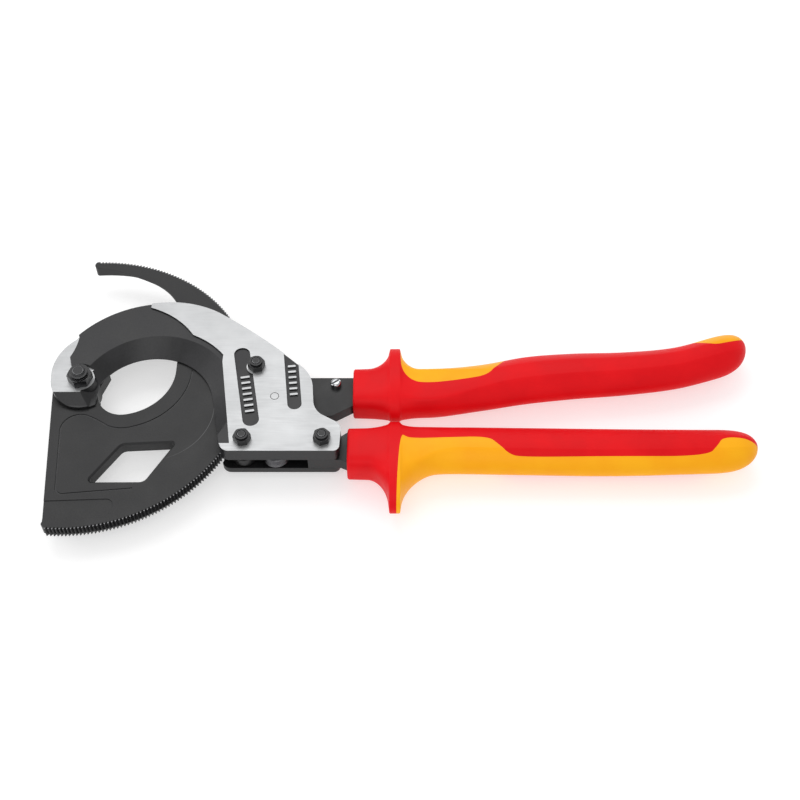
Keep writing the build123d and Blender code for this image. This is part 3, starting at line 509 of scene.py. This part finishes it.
def cutMesh(solid, cutters, operation):
    # the mesh of a solid after booleans with each cutter
    work = bpy.data.objects.new("work", solid.copy())
    bpy.context.scene.collection.objects.link(work)
    tools = []
    for cutter in cutters:
        tool = bpy.data.objects.new("tool", cutter)
        bpy.context.scene.collection.objects.link(tool)
        modifier = work.modifiers.new("cut", "BOOLEAN")
        modifier.object = tool
        modifier.operation = operation
        modifier.solver = "EXACT"
        tools.append(tool)
    bpy.context.view_layer.update()
    mesh = bpy.data.meshes.new_from_object(work.evaluated_get(bpy.context.evaluated_depsgraph_get()))
    for item in [work] + tools:
        bpy.data.objects.remove(item)
    return mesh


def softened(points, times=3):
    # an outline with its corners cut again and again, until it runs in smooth bends
    for _ in range(times):
        cut = []
        for (ax, ay), (bx, by) in zip(points, points[1:] + points[:1]):
            cut += [(ax * 0.75 + bx * 0.25, ay * 0.75 + by * 0.25), (ax * 0.25 + bx * 0.75, ay * 0.25 + by * 0.75)]
        points = cut
    return points


movingGrip = {
    "axis": [(125.3, -2.5, 11.0), (133.0, -2.5, 11.2), (150.0, -2.4, 11.9), (166.0, -1.8, 11.9), (186.0, 1.2, 12.1),
             (206.0, 5.3, 12.6), (228.0, 7.7, 12.2), (252.0, 9.2, 11.4), (276.0, 12.4, 10.9), (296.0, 18.6, 11.2),
             (312.0, 23.8, 11.2)],
    "thick": [(125.3, 8.2), (150.0, 8.6), (250.0, 8.6), (290.0, 8.6), (312.0, 8.6)],
    "end": 310.9, "roundFrom": 289.0, "roundPower": 4.0, "endDrift": 0.6,
    "rim": (141.9, 147.1), "fillets": (10.0, (9.0, 9.0)), "guard": (-16.9, 22.2), "guardThick": 10.2,
    "blendTo": 158.0, "squareTo": (160.0, 198.0),
    "cover": [
        [(147.0, 40.0), (147.0, 9.5), (148.0, 5.0), (149.8, 1.8), (152.8, -0.8), (157.0, -2.0), (166.0, -1.6),
         (180.0, 0.8), (185.0, 2.0), (188.5, 4.2), (190.6, 7.2), (193.0, 9.8), (200.0, 20.0), (200.0, 40.0)],
        [(284.0, 40.0), (284.0, 25.4), (289.0, 22.4), (294.5, 20.4), (300.0, 21.8), (306.0, 24.0), (309.0, 26.0),
         (320.0, 31.0), (320.0, 40.0)],
    ],
}
fixedGrip = {
    "axis": [(123.3, -36.0, 11.0), (133.0, -36.0, 11.2), (150.0, -35.2, 11.9), (166.0, -34.2, 11.7),
             (200.0, -34.6, 11.8), (240.0, -35.2, 11.8), (284.0, -34.8, 10.9), (298.0, -34.4, 10.6),
             (308.0, -33.4, 10.4)],
    "thick": [(123.3, 8.2), (150.0, 8.6), (250.0, 8.6), (284.0, 8.6), (308.0, 8.6)],
    "end": 307.7, "roundFrom": 283.0, "roundPower": 3.6, "endDrift": 0.9,
    "rim": (141.9, 147.1), "fillets": (10.0, (16.0, 9.0)), "guard": (-66.2, -19.6), "guardThick": 10.2,
    "blendTo": 158.0, "squareTo": (152.0, 172.0),
    "cover": [
        [(145.2, -80.0), (145.2, -58.0), (147.0, -30.6), (149.6, -32.4), (152.0, -33.0), (168.0, -32.5),
         (186.0, -32.0), (190.4, -36.0), (195.0, -40.6), (201.0, -41.8), (240.0, -41.6), (283.0, -41.4),
         (287.8, -36.8), (290.4, -32.6), (300.0, -32.0), (306.0, -33.4), (320.0, -38.0), (320.0, -80.0)],
    ],
}
for title, spec, body in (("moving_grip", movingGrip, "moving_handle"), ("fixed_grip", fixedGrip, "root")):
    solid = bpy.data.meshes.new(title)
    shape = gripShape(spec)
    shape.to_mesh(solid)
    shape.free()
    blocks = [prism(softened(points), -20, 60) for points in spec["cover"]]
    redMesh = cutMesh(solid, blocks, "DIFFERENCE")
    yellowParts = [cutMesh(solid, [block], "INTERSECT") for block in blocks]
    skins = (("red", [redMesh], gripRed, "_base"), ("yellow", yellowParts, gripYellow, "_cover"))
    for colour, meshes, finish, node in skins:
        joined = bmesh.new()
        for mesh in meshes:
            joined.from_mesh(mesh)
        piece = addPiece(title + "_" + colour, joined, body, [finish], [title + node])
        smoothOver(piece, 40)
print("grips made")


def woundWire(name, centre, meanR, wireR, low, turns, legs, finish, replaced, body):
    curve = bpy.data.curves.new(name, "CURVE")
    curve.dimensions = "3D"
    curve.bevel_depth = wireR * mm
    curve.bevel_resolution = 4
    points = []
    steps = int(turns * 24)
    startDeg, endDeg = legs["startDeg"], legs["startDeg"] + turns * 360
    tangent = math.radians(startDeg - 90)
    rootPoint = (centre[0] + meanR * math.cos(math.radians(startDeg)),
                 centre[1] + meanR * math.sin(math.radians(startDeg)))
    for share in (1.0, 0.5):
        points.append((rootPoint[0] + math.cos(tangent) * legs["startMm"] * share,
                       rootPoint[1] + math.sin(tangent) * legs["startMm"] * share, low + wireR))
    for step in range(steps + 1):
        angle = math.radians(startDeg + (endDeg - startDeg) * step / steps)
        points.append((centre[0] + meanR * math.cos(angle), centre[1] + meanR * math.sin(angle),
                       low + wireR + legs["rise"] * step / steps))
    tangent = math.radians(endDeg + 90)
    endPoint = points[-1]
    for share in (0.5, 1.0):
        points.append((endPoint[0] + math.cos(tangent) * legs["endMm"] * share,
                       endPoint[1] + math.sin(tangent) * legs["endMm"] * share, endPoint[2]))
    spline = curve.splines.new("POLY")
    spline.points.add(len(points) - 1)
    for point, (x, y, z) in zip(spline.points, points):
        point.co = (x * mm, y * mm, z * mm, 1)
    holder = bpy.data.objects.new(name + "_curve", curve)
    mesh = bpy.data.meshes.new_from_object(holder)
    bpy.data.objects.remove(holder)
    shape = bmesh.new()
    shape.from_mesh(mesh)
    bmesh.ops.holes_fill(shape, edges=[e for e in shape.edges if e.is_boundary])
    bmesh.ops.recalc_face_normals(shape, faces=shape.faces)
    piece = addPiece(name, shape, body, [finish], replaced)
    smoothOver(piece, 50)
    return piece


springLow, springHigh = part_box("opening_spring")
openingSpring = {"at": (91.3, -35.9), "outerMm": 5.9, "wireMm": 1.05, "turns": 5}
wireR = openingSpring["wireMm"] / 2
woundWire("opening_spring_wire", openingSpring["at"], openingSpring["outerMm"] - wireR, wireR, springLow.z / mm,
          openingSpring["turns"] - 0.25,
          {"startDeg": 90, "startMm": 12, "endMm": 14, "rise": (springHigh.z - springLow.z) / mm - 2 * wireR},
          springBlack, ["opening_spring"], "root")

# the small spring behind the drive pawl, as a piece with a mesh of its own
pawlSpringPiece = addPiece("drive_pawl_spring_coil", weldedMesh("drive_pawl_spring"), bodyOf("drive_pawl_spring"),
                           [springBlack], ["drive_pawl_spring"])
smoothOver(pawlSpringPiece, 40)
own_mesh(pawlSpringPiece)
print("springs made")


for node, item in nodes.items():
    if item.hide_render:
        continue
    item.data.materials.clear()
    item.data.materials.append(bronze if "bush" in node else nickel if "catch" in node or "pin" in node else nutBlack)


studio = {"board": [(0.3, "#C6C6C6"), (0.7, "#CCCCCC")], "mottleMm": 60, "floorHex": "#FFFFFF", "floorGlow": 0.52,
          "skyHex": "#FFFFFF", "skyStrength": 0.70, "keyWatts": 3.5, "fillWatts": 1.1, "rimWatts": 1.2}
floorMesh = bpy.data.meshes.new("floor")
reach = 8.0
floorMesh.from_pydata([(-reach, -reach, 0), (reach, -reach, 0), (reach, reach, 0), (-reach, reach, 0)], [],
                      [(0, 1, 2, 3)])
floor = bpy.data.objects.new("floor", floorMesh)
floor.location = (0.15, 0, cadBox[0].z - 0.02 * mm)
bpy.context.scene.collection.objects.link(floor)
floorPaint, floorTree, floorShader, floorPlace = startMaterial("matt white board")
mottle = addNode(floorTree, "ShaderNodeTexNoise", {"Scale": 1000 / studio["mottleMm"], "Detail": 3, "Roughness": 0.55},
                 {"Vector": floorPlace})["Fac"]
boardColour = addNode(floorTree, "ShaderNodeValToRGB", {"stops": studio["board"]}, {"Fac": mottle})["Color"]
floorTree.links.new(boardColour, floorShader.inputs["Base Color"])
floorShader.inputs["Roughness"].default_value = 0.9
floorShader.inputs["Emission Color"].default_value = hexColour(studio["floorHex"])
floorShader.inputs["Emission Strength"].default_value = studio["floorGlow"]
floorMesh.materials.append(floorPaint)

world = bpy.data.worlds.new("studio")
bpy.context.scene.world = world
world.use_nodes = True
sky = world.node_tree.nodes["Background"]
sky.inputs["Color"].default_value = hexColour(studio["skyHex"])
sky.inputs["Strength"].default_value = studio["skyStrength"]


def softLight(name, place, target, size, watts):
    light = bpy.data.lights.new(name, "AREA")
    light.shape = "RECTANGLE"
    light.size, light.size_y = size
    light.energy = watts
    holder = bpy.data.objects.new(name, light)
    holder.location = place
    holder.rotation_euler = (Vector(target) - Vector(place)).to_track_quat("-Z", "Y").to_euler()
    bpy.context.scene.collection.objects.link(holder)


shot = {"aimMm": (146.8, -6.0), "elevationDeg": 53.9, "distanceMm": 611.9, "lensMm": 59.6, "sensorMm": 36}
aim = Vector((shot["aimMm"][0] * mm, shot["aimMm"][1] * mm, midHeight))
softLight("key", aim + Vector((-0.15, 0.55, 0.95)), aim, (0.9, 0.6), studio["keyWatts"])
softLight("fill", aim + Vector((-0.15, -0.5, 0.75)), aim, (0.5, 0.35), studio["fillWatts"])
softLight("rim", aim + Vector((-0.8, 0.2, 0.45)), aim, (0.5, 0.5), studio["rimWatts"])

lens = bpy.data.cameras.new("camera")
lens.lens = shot["lensMm"]
lens.sensor_width = shot["sensorMm"]
lens.clip_start = 0.01
camera = bpy.data.objects.new("camera", lens)
elevation = math.radians(shot["elevationDeg"])
camera.location = aim + Vector((0, -math.cos(elevation), math.sin(elevation))) * shot["distanceMm"] * mm
camera.rotation_euler = (math.pi / 2 - elevation, 0, 0)
bpy.context.scene.collection.objects.link(camera)
bpy.context.scene.camera = camera
bpy.context.scene.view_settings.view_transform = "Standard"
print("studio set")
